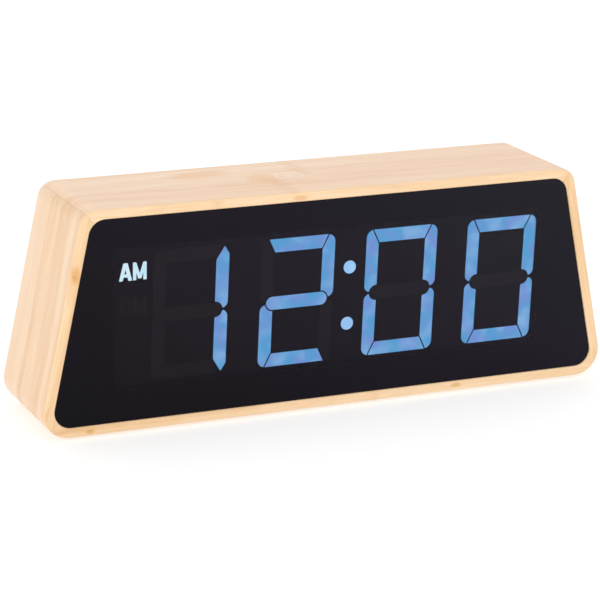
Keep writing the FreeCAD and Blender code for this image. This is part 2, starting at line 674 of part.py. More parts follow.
def button_cap(x):
    """Cap, retaining flange and stem of one push button."""
    outer = COVER_OUT_Y + BUTTON_PROUD
    cap = rod(BUTTON_RADIUS, x, BUTTON_Z, (COVER_IN_Y - 1.0, outer))
    top = [e for e in cap.Edges if all(abs(v.Y - outer) < 1e-6 for v in e.Vertexes)]
    cap = cap.makeFillet(0.6, top)
    flange = rod(BUTTON_RADIUS + 1.2, x, BUTTON_Z, (COVER_IN_Y - 1.1, COVER_IN_Y - 0.1))
    stem_end = MAIN_BOARD_BACK_Y + SWITCH_HEIGHT + PLUNGER_PROUD
    stem = rod(1.8, x, BUTTON_Z, (stem_end, COVER_IN_Y - 1.0))
    return union([cap, flange, stem])


def button_plunger(x):
    """Plunger of the switch under a button, which travels with it."""
    base = MAIN_BOARD_BACK_Y + SWITCH_HEIGHT
    return rod(PLUNGER_RADIUS, x, BUTTON_Z, (base - 1.2, base + PLUNGER_PROUD))


def push_switches():
    switches = []
    for x in BUTTONS.values():
        y = (MAIN_BOARD_BACK_Y, MAIN_BOARD_BACK_Y + SWITCH_HEIGHT)
        body = plate(rectangle((x, BUTTON_Z), (6.0, 6.0)), y, 0.5)
        bore = rod(PLUNGER_RADIUS + 0.08, x, BUTTON_Z, (y[1] - 1.2 - BUTTON_TRAVEL - 0.2, y[1]))
        switches.append(body.cut(bore))
    return Part.makeCompound(switches)


SLIDE_BODY_HEIGHT = 4.0
LEVER_SIZE = (2.0, 2.0)


def slider_grip(x):
    """Ribbed grip with the wide foot that covers its slot from inside."""
    width, height = SLIDER_SIZE
    grip = plate(rectangle((x, BUTTON_Z), SLIDER_SIZE), (COVER_IN_Y - 0.2, COVER_OUT_Y + 1.2), 0.35)
    ribs = [box((x + dx - 0.3, x + dx + 0.3), (COVER_OUT_Y + 0.8, COVER_OUT_Y + 1.2),
                (BUTTON_Z - height / 2, BUTTON_Z + height / 2)) for dx in (-1.2, 0.0, 1.2)]
    foot_x = (x - width / 2 - SLIDER_TRAVEL - 1.0, x + width / 2 + SLIDER_TRAVEL + 1.0)
    foot = box(foot_x, (COVER_IN_Y - 1.2, COVER_IN_Y - 0.2), (BUTTON_Z - 4.0, BUTTON_Z + 4.0))
    socket = box((x - 1.05, x + 1.05), (COVER_IN_Y - 1.2, COVER_IN_Y + 0.6),
                 (BUTTON_Z - 1.05, BUTTON_Z + 1.05))
    return union([grip, foot]).cut([socket, *ribs])


def slider_lever(x):
    """Lever of the slide switch, held in the socket under the grip."""
    low = MAIN_BOARD_BACK_Y + SLIDE_BODY_HEIGHT - 1.5
    return box((x - 1.0, x + 1.0), (low, COVER_IN_Y + 0.5), (BUTTON_Z - 1.0, BUTTON_Z + 1.0))


def slide_switches():
    """Metal-cased slide switches; the lever's slot is as long as its travel."""
    switches = []
    for x in SLIDERS.values():
        centre = (x + SLIDER_TRAVEL / 2, BUTTON_Z)
        y = (MAIN_BOARD_BACK_Y, MAIN_BOARD_BACK_Y + SLIDE_BODY_HEIGHT)
        body = plate(rectangle(centre, (12.0, 6.0)), y, 0.4)
        slot = rectangle(centre, (LEVER_SIZE[0] + SLIDER_TRAVEL + 0.4, LEVER_SIZE[1] + 0.2))
        switches.append(body.cut(plate(slot, (y[1] - 1.8, y[1]))))
    return Part.makeCompound(switches)


# ---- electronics behind the cover -------------------------------------------------------------
def main_board():
    y = (MAIN_BOARD_Y, MAIN_BOARD_BACK_Y)
    board = union([box((-MAIN_BOARD_X, MAIN_BOARD_X), y, MAIN_BOARD_Z),
                   box(JACK_LEG_X, y, (JACK_LEG_Z, MAIN_BOARD_Z[1] - 8))])
    return board.cut([rod(1.2, x, z, y) for x, z in MAIN_BOSSES])


def board_chips():
    """Clock chip, touch chip and regulator on the front of the main board."""
    spots = ((-10.0, 52.0, 10.0, 10.0, 1.8), (-30.0, 62.0, 5.0, 4.0, 1.5), (62.0, 44.0, 6.5, 6.0, 2.2))
    return Part.makeCompound([box((x - w / 2, x + w / 2), (MAIN_BOARD_Y - t, MAIN_BOARD_Y),
                                  (z - h / 2, z + h / 2)) for x, z, w, h, t in spots])


def capacitors():
    """Electrolytic cans standing on the front of the main board."""
    spots = ((60.0, 34.0, 3.1, 7.0), (70.0, 36.0, 2.5, 5.5), (14.0, 60.0, 2.0, 5.0))
    return Part.makeCompound([rod(r, x, z, (MAIN_BOARD_Y - h, MAIN_BOARD_Y)) for x, z, r, h in spots])


def crystal():
    """Timekeeping crystal lying in its metal can."""
    can = Part.makeCylinder(1.0, 6.0, V(4.0, MAIN_BOARD_Y - 1.0, 52.0), V(1, 0, 0))
    return can.makeFillet(0.4, can.Edges[0:1])


RIBBON_X = 25.0
RIBBON_Z = (40.0, 48.0)      # on the display board and on the main board
RIBBON_SOCKET_HEIGHT = 4.0


def ribbon_sockets():
    size, height = (22.0, 4.0), RIBBON_SOCKET_HEIGHT
    low = plate(rectangle((RIBBON_X, RIBBON_Z[0]), size),
                (DISPLAY_BOARD_BACK_Y, DISPLAY_BOARD_BACK_Y + height))
    high = plate(rectangle((RIBBON_X, RIBBON_Z[1]), size), (MAIN_BOARD_Y - height, MAIN_BOARD_Y))
    return Part.makeCompound([low, high])


def ribbon_cable():
    """Flat cable that leaves one socket, bends up and enters the other."""
    thickness, width = 0.5, 18.0
    start_y = DISPLAY_BOARD_BACK_Y + RIBBON_SOCKET_HEIGHT
    end_y = MAIN_BOARD_Y - RIBBON_SOCKET_HEIGHT
    low, high = RIBBON_Z
    bend = (end_y - start_y) / 2
    rise = (high - low) / 2
    drop = math.radians(35)
    points = [(start_y, low), (start_y + bend * 0.45, low + rise * 0.25 * math.sin(drop)),
              (start_y + bend, low + rise), (end_y - bend * 0.45, high - rise * 0.25 * math.sin(drop)),
              (end_y, high)]
    curve = Part.BSplineCurve()
    curve.interpolate([V(0, y, z) for y, z in points], InitialTangent=V(0, 1, 0), FinalTangent=V(0, 1, 0))
    spine = curve.toShape()
    strip = spine.extrude(V(width, 0, 0))
    strip.translate(V(RIBBON_X - width / 2, 0, -thickness / 2))
    return strip.extrude(V(0, 0, thickness))


def buzzer_housing():
    """Cup that opens towards the board, with a sound hole in its face behind the grille."""
    y = (COVER_IN_Y - 8.0, COVER_IN_Y)
    cup = rod(BUZZER_RADIUS, *BUZZER_CENTRE, y)
    hollow = rod(BUZZER_RADIUS - 1.2, *BUZZER_CENTRE, (y[0], y[1] - 1.2))
    return cup.cut([hollow, rod(2.5, *BUZZER_CENTRE, y)])


def buzzer_disc():
    """Brass disc with its ceramic layer, set across the cup."""
    y = COVER_IN_Y - 5.0
    brass = rod(BUZZER_RADIUS - 1.25, *BUZZER_CENTRE, (y - 0.25, y))
    return union([brass, rod(7.0, *BUZZER_CENTRE, (y - 0.5, y - 0.25))])


JACK_BORE = 2.9
JACK_DEPTH = 9.0


def power_jack():
    """Upright low-voltage socket on the main board, its mouth flush in the cover."""
    y = (MAIN_BOARD_BACK_Y, COVER_OUT_Y)
    base = plate(rectangle(JACK_CENTRE, (9.6, 9.6)), (y[0], COVER_IN_Y - 0.3), 0.6)
    nose = rod(4.1, *JACK_CENTRE, (COVER_IN_Y - 0.3, y[1] - 0.1))
    return union([base, nose]).cut(rod(JACK_BORE, *JACK_CENTRE, (y[1] - JACK_DEPTH, y[1])))


def power_pin():
    y = (COVER_OUT_Y - JACK_DEPTH, COVER_OUT_Y - 1.2)
    pin = rod(1.05, *JACK_CENTRE, y)
    tip = [e for e in pin.Edges if all(abs(v.Y - y[1]) < 1e-6 for v in e.Vertexes)]
    return pin.makeFillet(0.6, tip)


def touch_foil():
    """Snooze sensor: copper foil stuck under the top board."""
    return box((-32.0, 32.0), (-8.0, 12.0), (INNER_TOP_Z - 0.2, INNER_TOP_Z))


def touch_spring():
    """Strip soldered to the main board that bears on the foil."""
    t, x = 0.3, (-14.0, -10.0)
    foot = box(x, (MAIN_BOARD_Y - t, MAIN_BOARD_Y), (62.0, MAIN_BOARD_Z[1]))
    arm = box(x, (MAIN_BOARD_Y - 5.0, MAIN_BOARD_Y), (MAIN_BOARD_Z[1] - t, MAIN_BOARD_Z[1]))
    riser = box(x, (MAIN_BOARD_Y - 5.0, MAIN_BOARD_Y - 5.0 + t), (MAIN_BOARD_Z[1] - t, INNER_TOP_Z - 0.2))
    pad = box(x, (MAIN_BOARD_Y - 8.0, MAIN_BOARD_Y - 5.0 + t),
              (INNER_TOP_Z - 0.2 - t, INNER_TOP_Z - 0.2))
    return union([foot, arm, riser, pad])


# ---- output -----------------------------------------------------------------------------------
def nodes():
    film = (FLANGE_Y, REFLECTOR_Y)
    made = {
        **case_boards(),
        "foot_pads": foot_pads(),
        "front_lens": front_lens(),
        "lens_tape": lens_tape(),
        "inner_frame": inner_frame(),
        "display_mask": display_mask(),
        "lit_segments": Part.makeCompound(segments(film, True)),
        "unlit_segments": Part.makeCompound(segments(film, False)),
        "colon_dots": Part.makeCompound(colon_dots(film)),
        "am_indicator": Part.makeCompound(am_letters(film)),
        "pm_indicator": Part.makeCompound(pm_letters(film)),
        "display_reflector": display_reflector(),
        "display_board": display_board(),
        "segment_lamps": segment_lamps(),
        "driver_chips": driver_chips(),
        "display_screws": display_screws(),
        "rear_cover": rear_cover(),
        "cover_screws": cover_screws(),
        "battery_door": battery_door(),
        "battery_cells": battery_cells(),
        "battery_contacts": battery_contacts(),
        "battery_springs": battery_springs(),
        "push_switches": push_switches(),
        "slide_switches": slide_switches(),
        "main_board": main_board(),
        "main_board_screws": main_board_screws(),
        "board_chips": board_chips(),
        "capacitors": capacitors(),
        "crystal": crystal(),
        "ribbon_sockets": ribbon_sockets(),
        "ribbon_cable": ribbon_cable(),
        "buzzer_housing": buzzer_housing(),
        "buzzer_disc": buzzer_disc(),
        "power_jack": power_jack(),
        "power_pin": power_pin(),
        "touch_foil": touch_foil(),
        "touch_spring": touch_spring(),
    }
    for name, x in BUTTONS.items():
        made[name] = button_cap(x)
        made[name.replace("button", "plunger")] = button_plunger(x)
    for name, x in SLIDERS.items():
        made[name] = slider_grip(x)
        made[name.replace("slider", "lever")] = slider_lever(x)
    return made


def main():
    os.makedirs(PARTS, exist_ok=True)
    for name, shape in nodes().items():
        bad = [s for s in shape.Solids if not s.isValid() or s.Volume <= 0]
        print(f"{name:20s} solids {len(shape.Solids):3d}  volume {shape.Volume:10.1f}"
              f"{'  INVALID' if bad or not shape.Solids else ''}")
        shape.exportStep(f"{PARTS}/{name}.step")


main()
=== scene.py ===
"""Studio view of a bamboo alarm clock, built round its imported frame.  Metres, in the frame's axes."""
import json
import math

import bmesh
import bpy
from mathutils import Matrix, Vector


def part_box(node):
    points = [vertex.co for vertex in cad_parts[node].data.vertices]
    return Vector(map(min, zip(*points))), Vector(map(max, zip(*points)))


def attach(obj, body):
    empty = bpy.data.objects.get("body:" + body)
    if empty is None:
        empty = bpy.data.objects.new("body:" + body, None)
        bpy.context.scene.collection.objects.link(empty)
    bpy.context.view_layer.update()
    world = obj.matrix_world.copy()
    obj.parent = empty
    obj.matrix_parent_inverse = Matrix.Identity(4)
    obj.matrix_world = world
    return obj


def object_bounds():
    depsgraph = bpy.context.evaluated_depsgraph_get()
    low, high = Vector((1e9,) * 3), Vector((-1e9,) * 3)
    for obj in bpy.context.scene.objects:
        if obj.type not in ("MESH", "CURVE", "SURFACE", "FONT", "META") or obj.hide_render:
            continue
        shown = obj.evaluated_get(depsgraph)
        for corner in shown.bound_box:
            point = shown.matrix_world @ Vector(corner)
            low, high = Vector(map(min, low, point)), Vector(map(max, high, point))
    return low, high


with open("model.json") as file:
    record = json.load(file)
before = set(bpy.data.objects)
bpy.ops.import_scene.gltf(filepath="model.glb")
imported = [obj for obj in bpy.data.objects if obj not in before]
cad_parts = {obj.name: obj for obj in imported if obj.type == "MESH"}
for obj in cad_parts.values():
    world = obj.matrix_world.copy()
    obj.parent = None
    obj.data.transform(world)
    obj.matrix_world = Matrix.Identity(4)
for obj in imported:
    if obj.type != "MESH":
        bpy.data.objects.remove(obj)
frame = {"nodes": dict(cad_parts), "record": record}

MM = 0.001
NODES = frame["nodes"]


def plain_box():
    """The whole object's box now, as plain lists of numbers."""
    return [[round(float(c), 6) for c in corner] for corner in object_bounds()]


CAD_BOX = plain_box()

# ---- places, from the frame ------------------------------------------------------------------
CASE_LOW, CASE_HIGH = Vector(CAD_BOX[0]), Vector(CAD_BOX[1])
FRONT_Y = CASE_LOW.y
BOARD_FOOT_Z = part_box("bottom_board")[0].z
TOP_Z = CASE_HIGH.z
COVER_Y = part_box("rear_cover")[1].y
LEAN = math.radians(11.8)
BASE_HALF = 108.7 * MM        # half of the case's width across its sharp lower corners
TOP_HALF = BASE_HALF - (TOP_Z - BOARD_FOOT_Z) * math.tan(LEAN)
CLEAR_X = (-81.5, 79.4)       # part of the lens that light comes through, mm
CLEAR_Z = (16.2, 65.0)
CLEAR_FADE = (1.2, 0.8)       # the print thins out from this far outside its edge to this far inside, mm
CLEAR_ALPHA = 0.5             # of each face of the lens


# ---- node graphs ------------------------------------------------------------------------------
class Graph:
    """A Principled material under construction.  Values may be numbers or sockets."""

    def __init__(self, name, **constants):
        self.material = bpy.data.materials.new(name)
        self.material.use_nodes = True
        self.tree = self.material.node_tree
        self.tree.nodes.clear()
        self.shader = self.tree.nodes.new("ShaderNodeBsdfPrincipled")
        output = self.tree.nodes.new("ShaderNodeOutputMaterial")
        self.tree.links.new(self.shader.outputs["BSDF"], output.inputs["Surface"])
        for key, value in constants.items():
            self.put(self.shader.inputs[key.replace("_", " ")], value)

    def put(self, socket, value):
        if isinstance(value, bpy.types.NodeSocket):
            self.tree.links.new(value, socket)
        elif isinstance(value, (tuple, list)) and len(value) == 3 and socket.type == "RGBA":
            socket.default_value = (*value, 1.0)
        else:
            socket.default_value = value

    def set(self, **values):
        for key, value in values.items():
            self.put(self.shader.inputs[key.replace("_", " ")], value)

    def node(self, kind, *values, **settings):
        made = self.tree.nodes.new("ShaderNode" + kind)
        for key, value in settings.items():
            setattr(made, key, value)
        for socket, value in zip(made.inputs, values):
            if value is not None:
                self.put(socket, value)
        return made

    def math(self, operation, *values):
        return self.node("Math", *values, operation=operation).outputs[0]

    def vector(self, operation, *values):
        made = self.node("VectorMath", *values, operation=operation)
        return made.outputs["Value"] if operation in ("DOT_PRODUCT", "LENGTH") else made.outputs[0]

    def place(self):
        return self.node("TexCoord").outputs["Object"]

    def axes(self, source=None):
        made = self.node("SeparateXYZ", source or self.place())
        return made.outputs[0], made.outputs[1], made.outputs[2]

    def join(self, x, y, z):
        return self.node("CombineXYZ", x, y, z).outputs[0]

    def noise(self, where, scale, detail=2.0, roughness=0.5, distortion=0.0):
        made = self.node("TexNoise")
        self.put(made.inputs["Vector"], where)
        for key, value in (("Scale", scale), ("Detail", detail), ("Roughness", roughness),
                           ("Distortion", distortion)):
            made.inputs[key].default_value = value
        return made.outputs["Fac"]

    def remap(self, value, low, high, to_low=0.0, to_high=1.0, smooth=False):
        made = self.node("MapRange", value, low, high, to_low, to_high)
        if smooth:
            made.interpolation_type = "SMOOTHSTEP"
        return made.outputs[0]

    def mix(self, share, a, b, blend="MIX"):
        made = self.node("Mix", data_type="RGBA", blend_type=blend)
        for name, value in (("Factor_Float", share), ("A_Color", a), ("B_Color", b)):
            socket = next(s for s in made.inputs if s.identifier == name)
            self.put(socket, value)
        return next(s for s in made.outputs if s.identifier == "Result_Color")

    def ramp(self, value, *stops):
        made = self.node("ValToRGB", value)
        points = made.color_ramp.elements
        while len(points) < len(stops):
            points.new(0.5)
        for point, (position, colour) in zip(points, stops):
            point.position = position
            point.color = (*colour, 1.0)
        return made.outputs[0]

    def bump(self, height, distance, strength=1.0):
        made = self.node("Bump")
        made.inputs["Strength"].default_value = strength
        made.inputs["Distance"].default_value = distance
        self.put(made.inputs["Height"], height)
        self.put(self.shader.inputs["Normal"], made.outputs["Normal"])


# ---- bamboo -----------------------------------------------------------------------------------
WOOD_PALE = (0.87, 0.65, 0.415)
WOOD_MIDDLE = (0.82, 0.565, 0.320)
WOOD_DARK = (0.71, 0.44, 0.215)
WOOD_ROSY = (0.85, 0.60, 0.41)
WOOD_NODE = (0.62, 0.33, 0.12)
WOOD_PATCH = (0.80, 0.44, 0.19)
WOOD_KNOT = (0.66, 0.33, 0.09)
WOOD_SEAM = (0.34, 0.17, 0.06)
NODE_HALF_SPACING = 115 * MM  # half the distance between the dark joints of the bamboo's canes
JOINT_HALF_WIDTH = 4.5 * MM
RIM_FADE = (0.2, 2.2)         # depth over which the rim's tone gives way to the sides' paler tone, partly painted sheen, mm
RIM_RAGGED = 0.9
# share of the sides' paler tone, partly the wood's own and partly painted sheen
SIDE_SHEEN_SHARE = 0.72
SIDE_GRAIN_DARK = (0.925, 0.825, 0.72)
SIDE_GRAIN_LIGHT = (1.035, 1.07, 1.12)
SEAM_HALF = (0.42, 0.04)      # the mitre line's soft and dark half widths, mm
SEAM_SHARE = 0.15
MARK_X = -8.5                 # touch mark on the top, mm
MARK_RING = (4.8, 0.7)        # radius and width
MARK_DOT = 2.6
MARK_SHARE = 0.36
MARK_INK = (0.93, 0.90, 0.88)


def mitre_distance(g, point, side, top):
    """Distance from a mitre plane, which halves the angle at one sharp corner of the case."""
    half = TOP_HALF if top else BASE_HALF
    corner = Vector((side * half, 0.0, TOP_Z if top else BOARD_FOOT_Z))
    inner_angle = math.pi / 2 + (LEAN if top else -LEAN)
    reflection_share = -math.sin(inner_angle / 2) if top else math.sin(inner_angle / 2)
    along = Vector((-side * math.cos(inner_angle / 2), 0.0, reflection_share))
    normal = Vector((-along.z, 0.0, along.x))
    offset = g.vector("DOT_PRODUCT", point, normal)
    return g.math("ABSOLUTE", g.math("SUBTRACT", offset, normal.dot(corner)))


def blotch(g, point, warp, centre, size):
    """Soft ellipsoid patch, 1 at its centre, with ragged ends along the grain."""
    away = g.vector("SUBTRACT", point, tuple(c * MM for c in centre))
    scaled = g.vector("DIVIDE", away, tuple(s * MM for s in size))
    distance = g.math("ADD", g.vector("LENGTH", scaled), warp)
    return g.remap(distance, 1.25, 0.45, smooth=True)


def bamboo(name, along, corners, strips, seed, side_tone_and_sheen, tints=(), patches=(), knots=(), mark=None):
    """Strips of laminated bamboo whose grain runs along a direction in X and Z.

    corners are the (side, top) mitres at the board's ends; strips is (width, start) in mm of depth;
    seed varies the grain; the colour after it is the tone of the sides behind the rim, paler and
    less saturated than the rim: partly the wood's own, partly painted sheen; tints are (centre depth,
    half width, shade) bands that run the whole length of the board; patches and knots are
    (centre, size, strength) marks, in mm; mark is a function that prints on the finished colour.
    """
    g = Graph(name, Coat_Weight=0.30, Coat_Roughness=0.25, Coat_IOR=1.5, Specular_IOR_Level=0.35)
    point = g.place()
    length = g.vector("DOT_PRODUCT", point, along)
    depth = g.axes(point)[1]
    thick = g.vector("DOT_PRODUCT", point, (along[2], 0.0, -along[0]))

    strip_width, strip_start = strips
    wander = g.noise(g.join(g.math("MULTIPLY", length, 9.0), g.math("MULTIPLY", thick, 30.0), seed), 1.0)
    edge = g.math("ADD", depth, g.remap(wander, 0.3, 0.7, -0.5 * MM, 0.5 * MM))
    strip = g.math("FLOOR", g.math("DIVIDE", g.math("SUBTRACT", edge, strip_start * MM), strip_width * MM))
    chance = g.node("TexWhiteNoise", noise_dimensions="1D")
    g.put(chance.inputs["W"], g.math("ADD", strip, seed))
    luck = chance.outputs["Value"]

    run = g.math("ADD", length, g.math("MULTIPLY", luck, 3.0))
    swell = g.noise(g.join(g.math("MULTIPLY", run, 11.0), g.math("MULTIPLY", depth, 30.0), seed), 1.0, 1.0)
    ripple = g.noise(g.join(g.math("MULTIPLY", run, 48.0), g.math("MULTIPLY", depth, 90.0), seed), 1.0, 1.0)
    across = g.math("ADD", depth, g.remap(swell, 0.2, 0.8, -3.0 * MM, 3.0 * MM))
    across = g.math("ADD", across, g.remap(ripple, 0.2, 0.8, -0.8 * MM, 0.8 * MM))

    def streaks(length_scale, width_scale, detail):
        where = g.join(g.math("MULTIPLY", run, length_scale), g.math("MULTIPLY", across, width_scale),
                       g.math("MULTIPLY", thick, width_scale))
        return g.noise(where, 1.0, detail, 0.6)

    broad = streaks(7.0, 130.0, 2.0)
    medium = streaks(14.0, 380.0, 3.0)
    fine = streaks(70.0, 1100.0, 3.0)
    hue = streaks(4.0, 90.0, 1.0)

    value = g.math("MULTIPLY", broad, 0.40)
    value = g.math("ADD", value, g.math("MULTIPLY", medium, 0.34))
    value = g.math("ADD", value, g.math("MULTIPLY", fine, 0.26))
    value = g.math("ADD", value, g.remap(luck, 0.0, 1.0, -0.04, 0.04))
    for centre, half, shade in tints:
        band = g.math("ABSOLUTE", g.math("SUBTRACT", across, centre * MM))
        share = g.remap(band, (half + 1.5) * MM, (half - 1.5) * MM, smooth=True)
        value = g.math("ADD", value, g.math("MULTIPLY", share, shade))
    colour = g.ramp(value, (0.36, WOOD_DARK), (0.48, WOOD_MIDDLE), (0.60, WOOD_PALE))
    colour = g.mix(g.remap(hue, 0.42, 0.62, 0.0, 0.55), colour, WOOD_ROSY)
    # painted sheen: behind the rim the wood turns paler and less saturated, partly its own tone
    ragged_rim = g.remap(fine, 0.3, 0.7, -RIM_RAGGED * MM, RIM_RAGGED * MM)
    behind = g.math("ADD", g.math("SUBTRACT", depth, FRONT_Y), ragged_rim)
    face = g.remap(behind, RIM_FADE[0] * MM, RIM_FADE[1] * MM, smooth=True)
    shade = tuple(c * k for c, k in zip(side_tone_and_sheen, SIDE_GRAIN_DARK))
    light = tuple(min(1.0, c * k) for c, k in zip(side_tone_and_sheen, SIDE_GRAIN_LIGHT))
    side_colour_and_sheen = g.ramp(value, (0.36, shade), (0.60, light))
    colour = g.mix(g.math("MULTIPLY", face, SIDE_SHEEN_SHARE), colour, side_colour_and_sheen)

    ragged = g.noise(g.join(g.math("MULTIPLY", run, 60.0), g.math("MULTIPLY", depth, 420.0),
                            g.math("MULTIPLY", thick, 420.0)), 1.0, 3.0, 0.6)
    warp = g.remap(ragged, 0.25, 0.75, -0.45, 0.45)
    node_place = g.math("PINGPONG", g.math("ADD", length, g.math("MULTIPLY", luck, 0.31)),
                        NODE_HALF_SPACING)
    joint_band = g.remap(g.math("ADD", node_place, g.math("MULTIPLY", warp, 5 * MM)), JOINT_HALF_WIDTH,
                         0.0, smooth=True)
    colour = g.mix(g.math("MULTIPLY", joint_band, 0.20), colour, WOOD_NODE)
    for centre, size, strength in patches:
        patch = blotch(g, point, warp, centre, size)
        colour = g.mix(g.math("MULTIPLY", patch, strength), colour, WOOD_PATCH)
    for centre, size, strength in knots:
        knot = blotch(g, point, warp, centre, size)
        colour = g.mix(g.math("MULTIPLY", knot, strength), colour, WOOD_KNOT)

    near, far = (mitre_distance(g, point, *corner) for corner in corners)
    line = g.remap(g.math("MINIMUM", near, far), SEAM_HALF[0] * MM, SEAM_HALF[1] * MM, smooth=True)
    colour = g.mix(g.math("MULTIPLY", line, SEAM_SHARE), colour, WOOD_SEAM)
    if mark:
        colour = mark(g, point, colour)

    g.set(Base_Color=colour, Roughness=g.remap(medium, 0.3, 0.7, 0.40, 0.54))
    relief = g.math("SUBTRACT", g.math("MULTIPLY", fine, 0.7), g.math("MULTIPLY", line, 0.8))
    g.bump(relief, 0.05 * MM, 0.35)
    return g.material


def touch_mark(g, point, colour):
    """Printed ring and dot that shows where to touch for snooze."""
    centre = (MARK_X * MM, 0.0, TOP_Z)
    distance = g.vector("LENGTH", g.vector("SUBTRACT", point, centre))

    def band(radius, width):
        off = g.math("ABSOLUTE", g.math("SUBTRACT", distance, radius * MM))
        return g.remap(off, (width / 2 + 0.05) * MM, (width / 2 - 0.05) * MM)

    shape = g.math("MAXIMUM", band(*MARK_RING), band(0.0, MARK_DOT))
    return g.mix(g.math("MULTIPLY", shape, MARK_SHARE), colour, MARK_INK)


# ---- plastics, metals and the rest ---------------------------------------------------------------
def moulded(name, colour, roughness=0.5, grain=4000.0, relief=0.03, **more):
    """Moulded plastic with a spark-eroded grain and faint flow marks."""
    g = Graph(name, **more)
    point = g.place()
    tone = g.noise(point, 60.0, 3.0)
    speck = g.noise(point, grain, 2.0, 0.6)
    darker = tuple(c * 0.82 for c in colour)
    lighter = tuple(min(1.0, c * 1.15 + 0.002) for c in colour)
    g.set(Base_Color=g.ramp(tone, (0.3, darker), (0.7, lighter)),
          Roughness=g.remap(speck, 0.3, 0.7, roughness - 0.07, roughness + 0.07))
    g.bump(speck, relief * MM, 0.6)
    return g.material


def metal(name, colour, roughness=0.3, stretch=(1.0, 1.0, 14.0), relief=0.01):
    """Rolled or plated metal with fine drawn marks."""
    g = Graph(name, Metallic=1.0)
    drawn = g.noise(g.vector("MULTIPLY", g.place(), stretch), 900.0, 3.0, 0.6)
    dull = g.noise(g.place(), 220.0, 2.0)
    g.set(Base_Color=g.ramp(dull, (0.3, tuple(c * 0.86 for c in colour)), (0.7, colour)),
          Roughness=g.remap(drawn, 0.25, 0.75, roughness - 0.08, roughness + 0.12))
    g.bump(drawn, relief * MM, 0.5)
    return g.material


def rubber(name, colour):
    """Dusty rubber with a coarse skin."""
    g = Graph(name, Specular_IOR_Level=0.3)
    point = g.place()
    speck = g.noise(point, 2600.0, 3.0, 0.7)
    dust = g.noise(point, 300.0, 3.0)
    g.set(Base_Color=g.ramp(dust, (0.35, colour), (0.8, tuple(c * 1.8 for c in colour))),
          Roughness=g.remap(speck, 0.3, 0.7, 0.72, 0.9))
    g.bump(speck, 0.05 * MM, 0.7)
    return g.material


def circuit(name):
    """Green solder mask over a maze of copper tracks, with tinned pads."""
    g = Graph(name, Coat_Weight=0.3, Coat_Roughness=0.2)
    x, _, z = g.axes()
    cell = g.join(g.math("MULTIPLY", x, 420.0), g.math("MULTIPLY", z, 420.0), 0.0)
    tracks = g.node("TexBrick", cell, offset=0.37, squash=0.6)
    tracks.inputs["Scale"].default_value = 1.0
    tracks.inputs["Mortar Size"].default_value = 0.06
    pads = g.node("TexVoronoi", cell, feature="F1")
    pads.inputs["Scale"].default_value = 0.55
    pad = g.remap(pads.outputs["Distance"], 0.16, 0.13)
    mask = g.mix(tracks.outputs["Fac"], (0.02, 0.16, 0.07), (0.035, 0.26, 0.11))
    g.set(Base_Color=g.mix(pad, mask, (0.62, 0.60, 0.55)), Metallic=g.math("MULTIPLY", pad, 0.9),
          Roughness=g.remap(g.noise(g.place(), 500.0), 0.3, 0.7, 0.3, 0.45))
    g.bump(tracks.outputs["Fac"], 0.03 * MM, 0.5)
    return g.material


def smoked_lens(name):
    """Dark acrylic, polished in front: clear enough over the windows, printed black round them, with a
    painted reflection that lightens towards the upper right.
    """
    g = Graph(name, IOR=1.49, Specular_IOR_Level=0.12)
    point = g.place()
    x, _, z = g.axes(point)
    haze = g.noise(point, 30.0, 3.0, 0.6)
    wave = g.noise(point, 14.0, 1.0)

    def inside(value, low, high):
        off = g.math("ABSOLUTE", g.math("SUBTRACT", value, (low + high) / 2 * MM))
        half = (high - low) / 2
        return g.remap(off, (half + CLEAR_FADE[0]) * MM, (half - CLEAR_FADE[1]) * MM, smooth=True)

    window = g.math("MULTIPLY", inside(x, *CLEAR_X), inside(z, *CLEAR_Z))
    # painted reflection: both tones lighten a little towards the upper right of the display
    painted_reflection = g.math("ADD", g.math("MULTIPLY", x, 3.0), g.math("MULTIPLY", z, 5.0))
    painted_reflection = g.math("ADD", painted_reflection, g.remap(haze, 0.2, 0.8, -0.06, 0.06))
    reflection_share = g.remap(painted_reflection, -0.30, 0.65)
    # the printed black and the smoke each lighten with the painted reflection
    print_black_and_reflection = g.ramp(reflection_share, (0.0, (0.0008, 0.0001, 0.0016)), (0.6, (0.0052, 0.0032, 0.0082)),
                         (1.0, (0.0085, 0.0083, 0.0134)))
    smoke_and_reflection = g.ramp(reflection_share, (0.0, (0.0082, 0.0066, 0.0098)), (0.6, (0.0172, 0.0142, 0.0224)),
                   (1.0, (0.0235, 0.0224, 0.0316)))
    fade = g.math("POWER", window, 1.2)
    g.set(Base_Color=g.mix(fade, print_black_and_reflection, smoke_and_reflection), Alpha=g.remap(window, 0.0, 1.0, 1.0, CLEAR_ALPHA),
          Roughness=g.remap(haze, 0.3, 0.7, 0.055, 0.085))
    g.bump(wave, 0.02 * MM, 0.25)
    return g.material


def lit_diffuser(name, cool, violet, bright, strength):
    """Glowing film: the light of the lamps behind it pools in soft patches."""
    g = Graph(name, Roughness=0.6, Emission_Strength=strength)
    point = g.place()
    hue = g.noise(point, 150.0, 1.0, 0.4)
    pool = g.noise(g.vector("ADD", point, (0.4, 0.2, 0.1)), 190.0, 1.0, 0.4)
    tint = g.ramp(hue, (0.34, violet), (0.60, cool))
    glow = g.mix(g.remap(pool, 0.45, 0.75), tint, bright)
    g.set(Base_Color=(0.25, 0.32, 0.42), Emission_Color=glow)
    return g.material


def unlit_diffuser(name):
    """Film with no lamp on behind it, a little paler than the mask."""
    g = Graph(name, Roughness=0.55)
    cloud = g.noise(g.place(), 110.0, 2.0)
    g.set(Base_Color=g.ramp(cloud, (0.3, (0.021, 0.017, 0.018)), (0.7, (0.030, 0.025, 0.027))))
    return g.material


SLEEVE_ENDS = (-20.6, 21.6)   # shrink wrap on each cell, mm from the cell's middle
SLEEVE_BAND = 11.0            # where its second colour starts
CONDUCTOR_PITCH = 1.27 * MM


